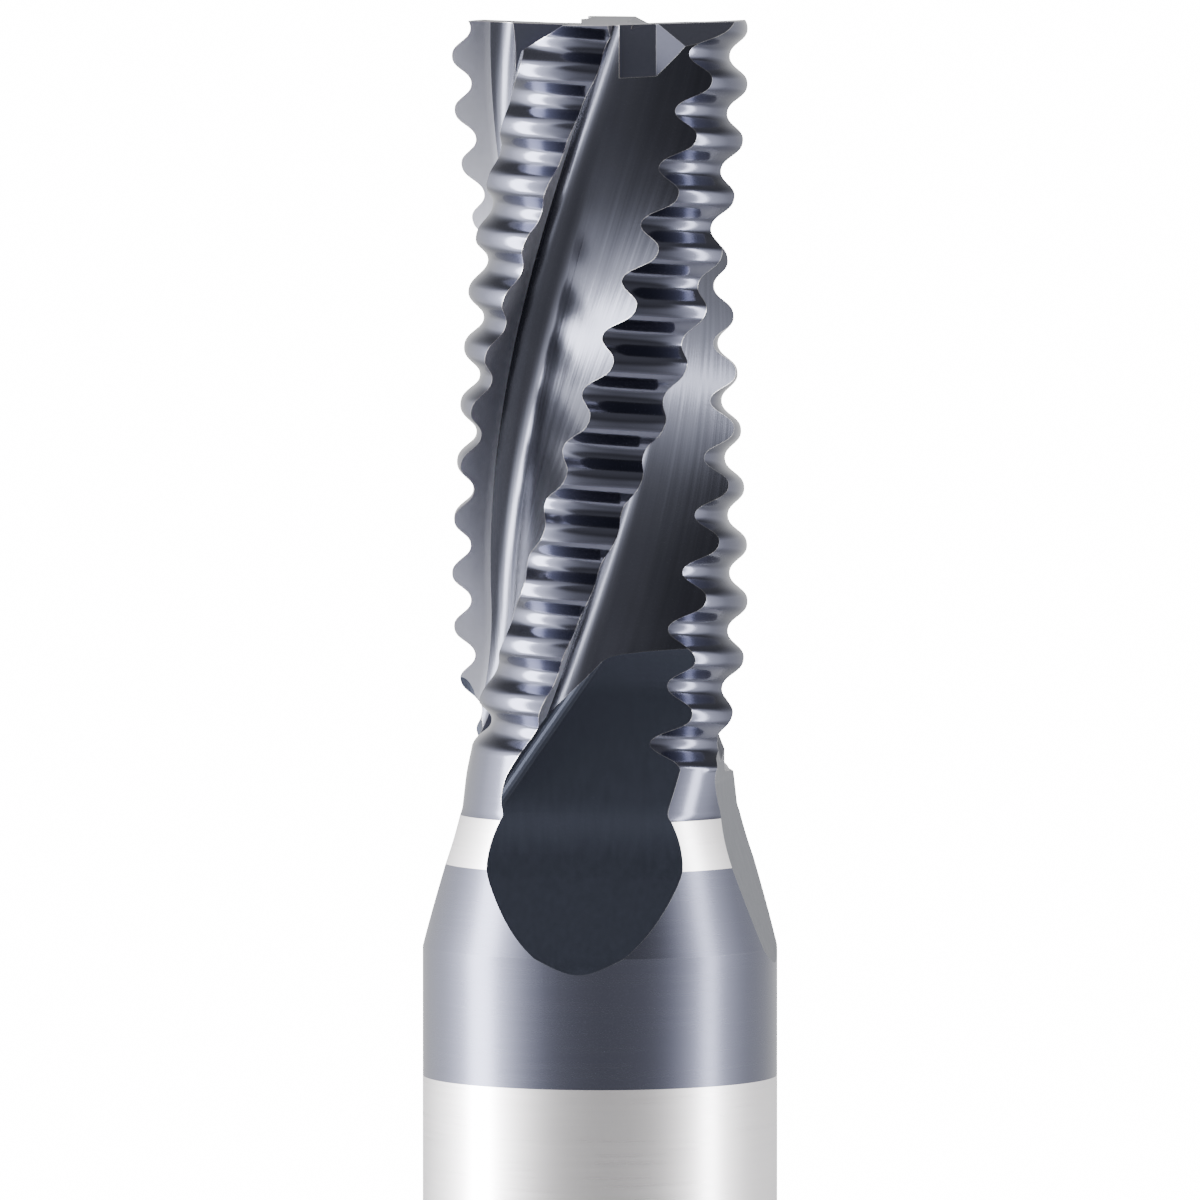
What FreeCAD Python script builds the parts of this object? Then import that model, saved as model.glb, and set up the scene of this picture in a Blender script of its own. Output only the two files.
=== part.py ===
import FreeCAD, Part
import Sketcher
import os
from math import atan2, cos, degrees, hypot, pi, radians, sin, sqrt, tan

# A four-flute roughing end mill, ground from one bar. It stands on its shank with the tip up.
# The origin is the centre of the shank's end and +Z runs to the tip. Lengths are millimetres
# and angles degrees. A direction of 0 degrees is +X, and directions turn towards +Y.

Vector = FreeCAD.Vector
Rotation = FreeCAD.Rotation
UP = Vector(0, 0, 1)

doc = FreeCAD.newDocument("roughing_end_mill")
sheet = doc.addObject("Spreadsheet::Sheet", "Sizes")

DRIVING_SIZES = (
    ("overall_length", 50.0, "shank end to tip"),
    ("shank_diameter", 6.0, "plain shank"),
    ("shank_chamfer", 0.3, "bevel round the shank's end"),
    ("cutter_diameter", 5.0, "over the ridges at a cutting edge"),
    ("cutting_length", 12.25, "tip to the top of the neck"),
    ("relief_length", 0.6, "slope from the cutter down to the neck"),
    ("neck_diameter", 4.3, "neck at its top"),
    ("neck_foot_diameter", 4.78, "neck at its foot"),
    ("neck_length", 1.15, "conical neck"),
    ("neck_step", 0.03, "width of the ledge at the foot of the neck"),
    ("collar_length", 0.82, "steeper band below the ledge"),
    ("collar_foot_diameter", 5.38, "that band at its foot"),
    ("shoulder_length", 1.42, "cone from the band to the shank"),
    ("ridge_pitch", 0.97, "height from one ridge to the next"),
    ("ridge_depth", 0.304, "crest to root"),
    ("ridge_fullness", 0.045, "share of the third harmonic that squares the wave"),
    ("crest_breadth", 1.1, "exponent that makes the crests wider than the roots"),
    ("first_crest", 0.61, "depth of the topmost crest below the tip, at the left side"),
    ("relief_angle", 5.8, "fall of the land at the cutting edge"),
    ("relief_growth", 0.12, "further fall, in millimetres for each radian squared"),
    ("lead", 34.8, "height of one full turn of a flute"),
    ("first_edge", 10.4, "direction of the first cutting edge at the tip"),
    ("index_offset", 3.0, "how far every second flute is out of an even spacing"),
    ("core_diameter", 2.8, "what the flutes leave"),
    ("rake_angle", 8.0, "hook of the cutting face"),
    ("gullet_radius", 0.5, "corner between the cutting face and the flute's floor"),
    ("flute_overrun", 0.45, "how far the flutes reach below the neck's top"),
    ("deep_run_out", 1.85, "where the floor of the first and third flute begins to rise, above the neck"),
    ("deep_run_out_rise", 0.088, "rise of that floor, in millimetres for each millimetre squared"),
    ("shallow_run_out", 2.45, "where the floor of the other two flutes begins to rise, above the neck"),
    ("shallow_run_out_rise", 0.103, "rise of that floor, in millimetres for each millimetre squared"),
    ("facet_turn", 31.1, "direction of a run-out facet, ahead of the cutting edge at the neck's foot"),
    ("facet_start", 0.26, "where the facets begin, below the shoulder"),
    ("deep_facet_angle", 25.5, "slope of the facet in the first and third flute"),
    ("deep_facet_length", 2.21, "height of that slope"),
    ("deep_facet_top_angle", 9.5, "slope of the same facet above its bend"),
    ("deep_facet_bend_radius", 3.0, "rounding of that bend"),
    ("shallow_facet_angle", 16.5, "slope of the facet in the other two flutes"),
    ("facet_rim_offset", 1.08, "side wall of a facet from its middle, at the neck's top"),
    ("facet_rim_angle", 34.0, "lean of that wall from the axis"),
    ("facet_corner_radius", 0.35, "rounding between that wall and the slope"),
    ("gash_angle", 43.3, "fall of an end gash towards the rim"),
    ("gash_turn", 7.4, "direction of a gash, behind its cutting edge"),
    ("gash_start", 0.456, "where a gash begins, from the axis"),
    ("gash_width", 0.62, "floor of a gash"),
    ("gash_side_angle", 36.4, "slope of a gash's far side"),
    ("end_clearance_turn", 17.2, "direction of the line where the end begins to fall, behind the edge"),
    ("end_land_offset", 0.22, "how far that line passes behind the axis"),
    ("end_clearance_angle", 29.5, "fall of the end behind that line"),
    ("dish_angle", 2.0, "hollow of the end face"),
)

for row, (alias, value, meaning) in enumerate(DRIVING_SIZES, start=1):
    sheet.set("A%d" % row, alias)
    sheet.set("B%d" % row, str(value))
    sheet.set("C%d" % row, meaning)
    sheet.setAlias("B%d" % row, alias)
doc.recompute()


def size(alias):
    return float(sheet.get(alias))


def at(direction, radius, height):
    return Vector(radius * cos(radians(direction)), radius * sin(radians(direction)), height)


# Heights of the turned shape, from the tip down.
tip = size("overall_length")
neck_top = tip - size("cutting_length")
cutter_radius = size("cutter_diameter") / 2
shank_radius = size("shank_diameter") / 2
core_radius = size("core_diameter") / 2
neck_foot = neck_top - size("neck_length")
collar_foot = neck_foot - size("collar_length")
shank_top = collar_foot - size("shoulder_length")
turn_rate = 360 / size("lead")
FLUTES = 4
SPARE = 0.2          # how far a cutter stands past the surface that it cuts


def whole(feature):
    """Recompute, and stop if the feature didn't come out whole."""
    doc.recompute()
    if "Invalid" in feature.State or "Error" in feature.State:
        raise RuntimeError("%s has state %s" % (feature.Label, feature.State))
    if hasattr(feature, "Shape") and (feature.Shape.isNull() or not feature.Shape.isValid()):
        raise RuntimeError("%s has no valid shape" % feature.Label)
    return feature


def outline(sketch, corners):
    """Close a polygon through corners, each a pair of expressions on the sheet: right, up."""
    count = len(corners)
    first_guess = [Vector(9 + cos(2 * pi * i / count), 9 + sin(2 * pi * i / count), 0) for i in range(count)]
    for i in range(count):
        sketch.addGeometry(Part.LineSegment(first_guess[i], first_guess[(i + 1) % count]))
    for i in range(count):
        sketch.addConstraint(Sketcher.Constraint("Coincident", i, 2, (i + 1) % count, 1))
    for i, corner in enumerate(corners):
        for kind, axis, expression in (("DistanceX", -2, corner[0]), ("DistanceY", -1, corner[1])):
            if expression == "0":
                sketch.addConstraint(Sketcher.Constraint("PointOnObject", i, 1, axis))
            else:
                index = sketch.addConstraint(Sketcher.Constraint(kind, -1, 1, i, 1, 9.0))
                sketch.setExpression("Constraints[%d]" % index, expression)
    return sketch


def cut(name, base, tool):
    """Take one tool off the base, and stop if it took nothing."""
    feature = doc.addObject("Part::Cut", name)
    feature.Base = base
    feature.Tool = tool
    whole(feature)
    if feature.Shape.Volume > base.Shape.Volume - 1e-4:
        raise RuntimeError("%s cuts nothing" % name)
    return feature


# The turned blank, as one profile turned about Z.
body = doc.addObject("PartDesign::Body", "Blank")
profile = body.newObject("Sketcher::SketchObject", "BlankProfile")
profile.Placement = FreeCAD.Placement(Vector(0, 0, 0), Rotation(Vector(1, 0, 0), 90))
NECK_TOP = "Sizes.overall_length - Sizes.cutting_length"
NECK_FOOT = NECK_TOP + " - Sizes.neck_length"
COLLAR_FOOT = NECK_FOOT + " - Sizes.collar_length"
BLANK_RADIUS = "Sizes.cutter_diameter / 2 + 0.05"
outline(profile, (
    ("0", "0"),
    ("Sizes.shank_diameter / 2 - Sizes.shank_chamfer", "0"),
    ("Sizes.shank_diameter / 2", "Sizes.shank_chamfer"),
    ("Sizes.shank_diameter / 2", COLLAR_FOOT + " - Sizes.shoulder_length"),
    ("Sizes.collar_foot_diameter / 2", COLLAR_FOOT),
    ("Sizes.neck_foot_diameter / 2 + Sizes.neck_step", NECK_FOOT),
    ("Sizes.neck_foot_diameter / 2", NECK_FOOT),
    ("Sizes.neck_diameter / 2", NECK_TOP),
    (BLANK_RADIUS, NECK_TOP + " + Sizes.relief_length"),
    (BLANK_RADIUS, "Sizes.overall_length"),
    ("0", "Sizes.overall_length"),
))
turned = body.newObject("PartDesign::Revolution", "TurnedBlank")
turned.Profile = profile
turned.ReferenceAxis = (profile, ["V_Axis"])
turned.Angle = 360
whole(turned)


# The lands and flutes. A section across the tool has four lands, each with a cutting edge,
# and ahead of each edge a flute: a cutting face, a gullet arc and a straight floor.
INDEX = [360 / FLUTES * i - (size("index_offset") if i % 2 else 0) for i in range(FLUTES)]
PAIR = ["deep" if i % 2 == 0 else "shallow" for i in range(FLUTES)]
SECTIONS_PER_RIDGE = 8
LAND_SPANS = 5
LIFT_OFF = 1.5       # millimetres for each millimetre squared
flute_bottom = neck_top - size("flute_overrun")
flute_top = tip + SPARE


def edge_direction(i, height):
    """Where cutting edge i stands at a height, on a right-hand helix."""
    return size("first_edge") + INDEX[i] - turn_rate * (tip - height)


def ridges_down(direction, height):
    """How many ridges down from the tip a point is, on a single left-hand thread."""
    return (tip - size("first_crest") - height) / size("ridge_pitch") - (direction + 180) / 360


def last_ridge(i):
    """The crest at which the thread of land i ends: the nearest to a third of a pitch into the neck."""
    end = neck_top - size("ridge_pitch") / 3
    return round(ridges_down(edge_direction(i, neck_top), end))


LAST_RIDGE = [last_ridge(i) for i in range(FLUTES)]


def ridge_wave(turns):
    """0 on a crest and 1 in a root, with the crests the broader."""
    fullness = size("ridge_fullness")
    wave = (1 - (1 + fullness) * cos(2 * pi * turns) + fullness * cos(6 * pi * turns)) / 2
    return max(wave, 0) ** size("crest_breadth")


def land_radius(i, behind, height):
    """The land's radius at an angle behind edge i. The thread ends on a crest, and the wheel
    lifts off below the top of the neck."""
    angle = radians(behind)
    radius = cutter_radius - cutter_radius * tan(radians(size("relief_angle"))) * angle
    radius -= size("relief_growth") * angle ** 2
    turns = ridges_down(edge_direction(i, height) - behind, height)
    if turns < LAST_RIDGE[i]:
        radius -= size("ridge_depth") * ridge_wave(turns)
    return radius + LIFT_OFF * max(0.0, neck_top - height) ** 2


def floor_distance(i, height):
    """The flute's floor from the axis. It rises towards the run-out."""
    below = max(0.0, neck_top + size(PAIR[i] + "_run_out") - height)
    return core_radius + size(PAIR[i] + "_run_out_rise") * below ** 2


def gullet(i, height):
    """The gullet's radius. It narrows as the floor rises, so that the cutting face never ends."""
    risen = (floor_distance(i, height) - core_radius) / (cutter_radius - core_radius)
    return size("gullet_radius") * (1 - min(risen, 0.6)) ** 2


def edge_lag(i, height):
    """The angle from the nominal edge back to where the cutting face meets the land."""
    hook = tan(radians(size("rake_angle")))
    lag = 0.0
    for _ in range(6):
        radius = land_radius(i, lag, height)
        half = cutter_radius * hook ** 2
        across = (half + sqrt(half ** 2 - (1 + hook ** 2) * (half * cutter_radius - radius ** 2))) / (1 + hook ** 2)
        lag = -degrees(atan2((across - cutter_radius) * hook, across))
    return lag


def heel_angle(i, height):
    """The angle behind edge i where the land ends at the next flute's floor."""
    spacing = (INDEX[i] - INDEX[i - 1]) % 360
    floor = floor_distance(i - 1, height)
    low = spacing - 88
    high = spacing - 2
    for _ in range(40):
        middle = (low + high) / 2
        if land_radius(i, middle, height) * cos(radians(spacing - middle)) < floor:
            low = middle
        else:
            high = middle
    return middle


def land_curve(i, height):
    heel = heel_angle(i, height)
    edge = edge_lag(i, height)
    points = []
    for step in range(LAND_SPANS + 1):
        behind = heel + (edge - heel) * step / LAND_SPANS
        points.append(at(edge_direction(i, height) - behind, land_radius(i, behind, height), height))
    return points


def section(height):
    """The closed outline of the tool at one height, sixteen edges in a fixed order."""
    hook = radians(size("rake_angle"))
    lands = [land_curve(i, height) for i in range(FLUTES)]
    edges = []
    for i in range(FLUTES):
        turn = edge_direction(i, height)
        floor = floor_distance(i, height)
        radius = gullet(i, height)
        centre = (floor + radius, (floor + radius - cutter_radius) * tan(hook) + radius / cos(hook))
        arc = []
        for direction in (hook - pi / 2, hook / 2 - 3 * pi / 4, -pi):
            right = centre[0] + radius * cos(direction)
            ahead = centre[1] + radius * sin(direction)
            arc.append(at(turn + degrees(atan2(ahead, right)), hypot(right, ahead), height))
        heel_ahead = lands[(i + 1) % FLUTES]
        edges.append(Part.LineSegment(lands[i][-1], arc[0]).toShape())
        edges.append(Part.Arc(*arc).toShape())
        edges.append(Part.LineSegment(arc[2], heel_ahead[0]).toShape())
        curve = Part.BSplineCurve()
        curve.interpolate(Points=heel_ahead, Parameters=[step / LAND_SPANS for step in range(LAND_SPANS + 1)])
        edges.append(curve.toShape())
    return Part.Wire(edges)


rows = int((flute_top - flute_bottom) / size("ridge_pitch") * SECTIONS_PER_RIDGE)
heights = [flute_top + (flute_bottom - flute_top) * row / rows for row in range(rows + 1)]
sides = Part.makeLoft([section(height) for height in heights], False, False)
rim = [Part.Wire(Part.makeCircle(shank_radius + 1, Vector(0, 0, height))) for height in (flute_bottom, flute_top)]
ends = [Part.makeFace([rim[0], section(flute_bottom)], "Part::FaceMakerCheese"),
        Part.makeFace([rim[1], section(flute_top)], "Part::FaceMakerCheese")]
around = Part.makeCylinder(shank_radius + 1, flute_top - flute_bottom, Vector(0, 0, flute_bottom)).Faces[0]
shell = Part.makeShell(sides.Faces + ends + [around])
shell.sewShape(1e-4)
solid = Part.Solid(shell)
if solid.Volume < 0:
    solid.reverse()
chips = doc.addObject("Part::Feature", "FluteChips")
chips.Shape = solid
whole(chips)

ground = body

# The run-out facets. Each is a slope in the plane of the axis and its own direction, and has a
# leaning side wall where the wheel's rim passed.
FACET_TOP = 3.8       # above the neck's top, where the slope is inside the flute's floor
facet_foot = "Sizes.overall_length - Sizes.cutting_length - Sizes.neck_length - Sizes.collar_length" \
    " - Sizes.shoulder_length - Sizes.facet_start"
shank = "Sizes.shank_diameter / 2"
deep_knee = shank + " - Sizes.deep_facet_length * tan(Sizes.deep_facet_angle * 1deg)"
facet_head = NECK_TOP + " + %g" % FACET_TOP
facet_rise = "(Sizes.neck_length + Sizes.collar_length + Sizes.shoulder_length" \
    " + Sizes.facet_start + %g)" % FACET_TOP
FACETS = {
    "deep": (
        (shank, facet_foot),
        (deep_knee, facet_foot + " + Sizes.deep_facet_length"),
        (deep_knee + " - (" + facet_rise + " - Sizes.deep_facet_length) * tan(Sizes.deep_facet_top_angle * 1deg)",
         facet_head),
        (shank + " + 1", facet_head),
        (shank + " + 1", facet_foot),
    ),
    "shallow": (
        (shank, facet_foot),
        (shank + " - " + facet_rise + " * tan(Sizes.shallow_facet_angle * 1deg)", facet_head),
        (shank + " + 1", facet_head),
        (shank + " + 1", facet_foot),
    ),
}
facet_low = shank_top - size("facet_start") + 0.01
facet_high = neck_top + FACET_TOP - 0.01
deep_knee_height = shank_top - size("facet_start") + size("deep_facet_length")


def rounded(name, base, radius, chosen):
    """Round the chosen edges of the base."""
    feature = doc.addObject("Part::Fillet", name)
    feature.Base = base
    feature.Edges = [(number, radius, radius) for number, edge in enumerate(base.Shape.Edges, start=1)
                     if chosen(edge)]
    return whole(feature)


def at_knee(edge):
    """The level edge of the bend."""
    return all(abs(corner.Z - deep_knee_height) < 1e-6 for corner in edge.Vertexes)


for i in range(FLUTES):
    direction = edge_direction(i, neck_foot) + size("facet_turn")
    spin = Rotation(UP, direction)
    slope = doc.addObject("Sketcher::SketchObject", "FacetProfile%d" % (i + 1))
    slope.Placement = FreeCAD.Placement(Vector(0, 0, 0), spin * Rotation(Vector(1, 0, 0), 90))
    outline(slope, FACETS[PAIR[i]])
    sweep = doc.addObject("Part::Extrusion", "FacetSweep%d" % (i + 1))
    sweep.Base = slope
    sweep.DirMode = "Normal"
    sweep.Solid = True
    sweep.Symmetric = True
    sweep.setExpression("LengthFwd", "Sizes.shank_diameter + 2")
    whole(sweep)
    if PAIR[i] == "deep":
        sweep = rounded("FacetBend%d" % (i + 1), sweep, size("deep_facet_bend_radius"), at_knee)
    beside = doc.addObject("Part::Box", "BesideFacet%d" % (i + 1))
    beside.setExpression("Length", "Sizes.shank_diameter")
    beside.setExpression("Width", "Sizes.shank_diameter * 2")
    beside.setExpression("Height", "Sizes.overall_length / 2")
    lean = Rotation(Vector(1, 0, 0), -size("facet_rim_angle"))
    corner = lean.multVec(Vector(-1, -2 * size("shank_diameter"), -tip / 4))
    wall = Vector(0, -size("facet_rim_offset"), neck_top)
    beside.Placement = FreeCAD.Placement(spin.multVec(corner + wall), spin * lean)
    facet = cut("Facet%d" % (i + 1), sweep, beside)
    ridge = spin * lean
    inward = spin.multVec(Vector(1, 0, 0))

    def at_wall(edge):
        """The inner edges of the side wall."""
        middle = edge.valueAt((edge.FirstParameter + edge.LastParameter) / 2)
        from_wall = (middle - spin.multVec(wall)).dot(ridge.multVec(Vector(0, 1, 0)))
        return abs(from_wall) < 1e-5 and middle.dot(inward) < shank_radius and facet_low < middle.z < facet_high

    facet = rounded("FacetCorner%d" % (i + 1), facet, size("facet_corner_radius"), at_wall)
    ground = cut("RunOut%d" % (i + 1), ground, facet)

# The hollow of the end face.
hollow = doc.addObject("Part::Cone", "EndHollow")
hollow.Radius1 = 0
hollow.setExpression("Radius2", "Sizes.shank_diameter / 2")
hollow.setExpression("Height", "Sizes.shank_diameter / 2 * tan(Sizes.dish_angle * 1deg)")
hollow.setExpression("Placement.Base.z", "Sizes.overall_length"
                     " - Sizes.cutter_diameter / 2 * tan(Sizes.dish_angle * 1deg)")
ground = cut("HollowEnd", ground, hollow)

# The end teeth. A gash runs along each cutting face and falls towards the rim, and the end of
# the tooth ahead of it falls away behind that tooth's flat.
fall = tan(radians(size("gash_angle")))
for i in range(FLUTES):
    edge = edge_direction(i, tip)
    along = edge - size("gash_turn")
    spin = Rotation(UP, along + 90)
    foot = at(edge, cutter_radius, tip + SPARE * fall)
    foot = foot - at(along, cutter_radius - size("gash_start") + SPARE, 0)
    notch = doc.addObject("Sketcher::SketchObject", "GashProfile%d" % (i + 1))
    notch.Placement = FreeCAD.Placement(foot, spin * Rotation(Vector(1, 0, 0), 90))
    outline(notch, (
        ("0", "0"),
        ("Sizes.gash_width", "0"),
        ("Sizes.gash_width + Sizes.cutter_diameter / tan(Sizes.gash_side_angle * 1deg)", "Sizes.cutter_diameter"),
        ("0", "Sizes.cutter_diameter"),
    ))
    gash = doc.addObject("Part::Extrusion", "Gash%d" % (i + 1))
    gash.Base = notch
    gash.DirMode = "Custom"
    gash.Dir = at(along, 1, -fall)
    gash.Solid = True
    gash.setExpression("LengthFwd", "Sizes.cutter_diameter")
    whole(gash)
    ground = cut("Gashed%d" % (i + 1), ground, gash)
clear_of_gash = cutter_radius * sin(radians(size("gash_turn"))) + size("gash_width") / 2
for i in range(FLUTES):
    spin = Rotation(UP, edge_direction(i, tip) - size("end_clearance_turn"))
    relief = doc.addObject("Part::Box", "EndClearance%d" % (i + 1))
    relief.setExpression("Length", "Sizes.cutter_diameter")
    relief.setExpression("Width", "Sizes.cutter_diameter")
    relief.setExpression("Height", "Sizes.cutter_diameter")
    tilt = Rotation(Vector(1, 0, 0), size("end_clearance_angle"))
    corner = tilt.multVec(Vector(0, -size("cutter_diameter"), 0))
    corner = corner + Vector(clear_of_gash, -size("end_land_offset"), tip)
    relief.Placement = FreeCAD.Placement(spin.multVec(corner), spin * tilt)
    ground = cut("EndRelief%d" % (i + 1), ground, relief)

# Last, the flutes and the ridged lands.
mill = cut("roughing_end_mill", ground, chips)
if len(mill.Shape.Solids) != 1:
    raise RuntimeError("the tool is in %d pieces" % len(mill.Shape.Solids))

os.makedirs("parts", exist_ok=True)
for feature in doc.Objects:
    if "Invalid" in feature.State or "Error" in feature.State:
        raise RuntimeError("%s has state %s" % (feature.Label, feature.State))
mill.Shape.exportStep("parts/roughing_end_mill.step")
print("roughing_end_mill: %.2f mm3, %d faces" % (mill.Shape.Volume, len(mill.Shape.Faces)))
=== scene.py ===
# %% [markdown]
# # A roughing end mill
# A roughing end mill is a rotary cutter ground from one bar of carbide. Four helical flutes carry the chips
# away, and the lands between them are cut into rounded ridges, so that each tooth breaks its chip short.
# The solid model of it is the frame. This script gives the same shape a finer mesh, its finishes and a studio.

# %% Load the frame
from math import cos, degrees, pi, radians, sin, tan

import bmesh
import bpy
import numpy as np
from mathutils import Matrix, Vector


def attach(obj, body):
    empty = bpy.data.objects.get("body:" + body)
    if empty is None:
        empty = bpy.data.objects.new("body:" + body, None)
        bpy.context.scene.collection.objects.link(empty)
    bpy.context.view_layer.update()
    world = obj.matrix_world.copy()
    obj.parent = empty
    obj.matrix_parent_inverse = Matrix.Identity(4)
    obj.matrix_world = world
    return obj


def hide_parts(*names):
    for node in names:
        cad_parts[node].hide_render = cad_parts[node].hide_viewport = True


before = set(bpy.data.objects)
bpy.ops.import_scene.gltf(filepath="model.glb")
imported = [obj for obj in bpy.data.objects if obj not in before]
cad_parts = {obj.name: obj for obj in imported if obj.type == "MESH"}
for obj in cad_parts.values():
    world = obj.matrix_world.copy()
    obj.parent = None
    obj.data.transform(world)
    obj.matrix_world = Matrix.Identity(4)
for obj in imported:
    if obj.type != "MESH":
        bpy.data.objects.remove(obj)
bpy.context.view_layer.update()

MM = 0.001
NODE = "roughing_end_mill"

# %% [markdown]
# ## The camera
# The tool is photographed with a long lens from a little above, so its sides run almost parallel.
# The camera comes first, because every later choice is judged through it.

# %% Aim the camera
CAMERA_DISTANCE = 331 * MM
CAMERA_RISE = radians(3.8)
AIM_HEIGHT = 40.2 * MM
IMAGE_SIDE = 1200
PIXELS_PER_MM = 59.2
view_angle = 2 * np.arctan(IMAGE_SIDE / 2 / PIXELS_PER_MM * MM / CAMERA_DISTANCE)

camera_data = bpy.data.cameras.new("camera")
camera_data.sensor_fit = "HORIZONTAL"
camera_data.angle = view_angle
camera_data.clip_start = 0.01
camera = bpy.data.objects.new("camera", camera_data)
bpy.context.collection.objects.link(camera)
camera.location = (0, -CAMERA_DISTANCE * cos(CAMERA_RISE), AIM_HEIGHT + CAMERA_DISTANCE * sin(CAMERA_RISE))
camera.rotation_euler = (pi / 2 - CAMERA_RISE, 0, 0)
bpy.context.scene.camera = camera
print("lens angle, degrees:", round(degrees(view_angle), 2))

# %% [markdown]
# ## Measures
# These are millimetres and degrees. The fine mesh has to lie in the solid model, so most of them are the solid
# model's own sizes. Two of the four lands stand five degrees further round than there, as the photograph
# shows them, and the collar and the neck are measured a little finer.

# %% Name the sizes
TIP = 50.0
SHANK_RADIUS = 3.0
SHANK_CHAMFER = 0.3
CUTTER_RADIUS = 2.5
BLANK_RADIUS = 2.55
NECK_TOP = 37.75
NECK_FOOT = 36.6
NECK_RADIUS = 2.42
COLLAR_FOOT = 35.78
COLLAR_RADIUS = 2.69
SHANK_TOP = 34.36
FLUTE_BOTTOM = 36.9
LEAD = 34.8
FIRST_EDGE = 5.4
INDEX_OFFSET = -2.0   # neighbouring edges are 90 degrees apart, plus or minus this
SPARE = 0.2           # how far a cutter goes past the tip, so that no two faces fall together
turn_rate = 360 / LEAD
INDEX = [0, 90 - INDEX_OFFSET, 180, 270 - INDEX_OFFSET]


def edge_direction(i, height):
    """Where cutting edge i stands at a height, in degrees from +X."""
    return FIRST_EDGE + INDEX[i] - turn_rate * (TIP - height)


print("cutting edges at the tip:", [round(edge_direction(i, TIP), 1) for i in range(4)])

# %% [markdown]
# ## Rules as arithmetic
# Geometry Nodes can move every point of a mesh by a rule, but a long rule is hard to follow as boxes and
# wires. This small class lets the rule be written as plain arithmetic, and adds a Math node for each sign.

# %% Write node rules as arithmetic
class Field:
    """A number that differs from point to point in a node tree."""

    def __init__(self, tree, socket):
        self.tree = tree
        self.socket = socket

    def __add__(self, other): return calc("ADD", self, other)
    def __radd__(self, other): return calc("ADD", other, self)
    def __sub__(self, other): return calc("SUBTRACT", self, other)
    def __rsub__(self, other): return calc("SUBTRACT", other, self)
    def __mul__(self, other): return calc("MULTIPLY", self, other)
    def __rmul__(self, other): return calc("MULTIPLY", other, self)
    def __truediv__(self, other): return calc("DIVIDE", self, other)
    def __rtruediv__(self, other): return calc("DIVIDE", other, self)
    def __pow__(self, other): return calc("POWER", self, other)
    def __mod__(self, other): return calc("FLOORED_MODULO", self, other)


def calc(operation, *values):
    """One Math node. Its inputs may be fields or numbers."""
    tree = next(value.tree for value in values if isinstance(value, Field))
    node = tree.nodes.new("ShaderNodeMath")
    node.operation = operation
    for socket, value in zip(node.inputs, values):
        if isinstance(value, Field):
            tree.links.new(value.socket, socket)
        else:
            socket.default_value = value
    return Field(tree, node.outputs[0])


def choose(test, if_true, if_false):
    """if_true where the test is 1, if_false where it is 0, and a blend between them."""
    return if_false + (if_true - if_false) * test


def between_0_and_1(value):
    return calc("MINIMUM", calc("MAXIMUM", value, 0), 1)


def new_tree(name, numbers, counts=()):
    """A node tree with named inputs. It gives the tree and its inputs as fields."""
    tree = bpy.data.node_groups.new(name, "GeometryNodeTree")
    tree.interface.new_socket("Geometry", in_out="INPUT", socket_type="NodeSocketGeometry")
    for label in numbers:
        tree.interface.new_socket(label, in_out="INPUT", socket_type="NodeSocketFloat")
    for label in counts:
        tree.interface.new_socket(label, in_out="INPUT", socket_type="NodeSocketInt")
    tree.interface.new_socket("Material", in_out="INPUT", socket_type="NodeSocketMaterial")
    tree.interface.new_socket("Geometry", in_out="OUTPUT", socket_type="NodeSocketGeometry")
    group_in = tree.nodes.new("NodeGroupInput")
    fields = {label: Field(tree, group_in.outputs[label]) for label in (*numbers, *counts)}
    return tree, group_in, fields


def run_tree(name, tree, values):
    """Put a tree on an empty mesh, set its inputs by identifier, and keep the result as a plain mesh."""
    holder = bpy.data.objects.new(name, bpy.data.meshes.new(name))
    bpy.context.collection.objects.link(holder)
    modifier = holder.modifiers.new("rule", "NODES")
    modifier.node_group = tree
    for item in tree.interface.items_tree:
        if item.in_out == "INPUT" and item.name in values:
            modifier[item.identifier] = values[item.name]
    holder.update_tag()
    evaluated = holder.evaluated_get(bpy.context.evaluated_depsgraph_get())
    mesh = bpy.data.meshes.new_from_object(evaluated)
    holder.modifiers.clear()
    holder.data = mesh
    print(name, "has", len(mesh.polygons), "faces")
    return holder


def place_and_finish(tree, group_in, mesh_node, x, y, z):
    """The end of every tree here: set the points, realise, and give the material."""
    join = tree.nodes.new("ShaderNodeCombineXYZ")
    for socket, value in zip(join.inputs, (x * MM, y * MM, z * MM)):
        tree.links.new(value.socket, socket)
    place = tree.nodes.new("GeometryNodeSetPosition")
    realise = tree.nodes.new("GeometryNodeRealizeInstances")
    paint = tree.nodes.new("GeometryNodeSetMaterial")
    out = tree.nodes.new("NodeGroupOutput")
    tree.links.new(mesh_node.outputs["Mesh"], place.inputs["Geometry"])
    tree.links.new(join.outputs[0], place.inputs["Position"])
    tree.links.new(place.outputs[0], realise.inputs[0])
    tree.links.new(realise.outputs[0], paint.inputs["Geometry"])
    tree.links.new(group_in.outputs["Material"], paint.inputs["Material"])
    tree.links.new(paint.outputs[0], out.inputs[0])


def tube(tree, group_in):
    """A closed cylinder to bend into shape: radius 1, height 1, with its axis from 0 to 1."""
    primitive = tree.nodes.new("GeometryNodeMeshCylinder")
    tree.links.new(group_in.outputs["Columns"], primitive.inputs["Vertices"])
    tree.links.new(group_in.outputs["Rows"], primitive.inputs["Side Segments"])
    primitive.inputs["Radius"].default_value = 1
    primitive.inputs["Depth"].default_value = 1
    position = tree.nodes.new("GeometryNodeInputPosition")
    split = tree.nodes.new("ShaderNodeSeparateXYZ")
    tree.links.new(position.outputs[0], split.inputs[0])
    x, y, z = (Field(tree, socket) for socket in split.outputs)
    around = calc("ARCTAN2", y, x) * (180 / pi) % 360
    return primitive, around, z + 0.5


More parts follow.
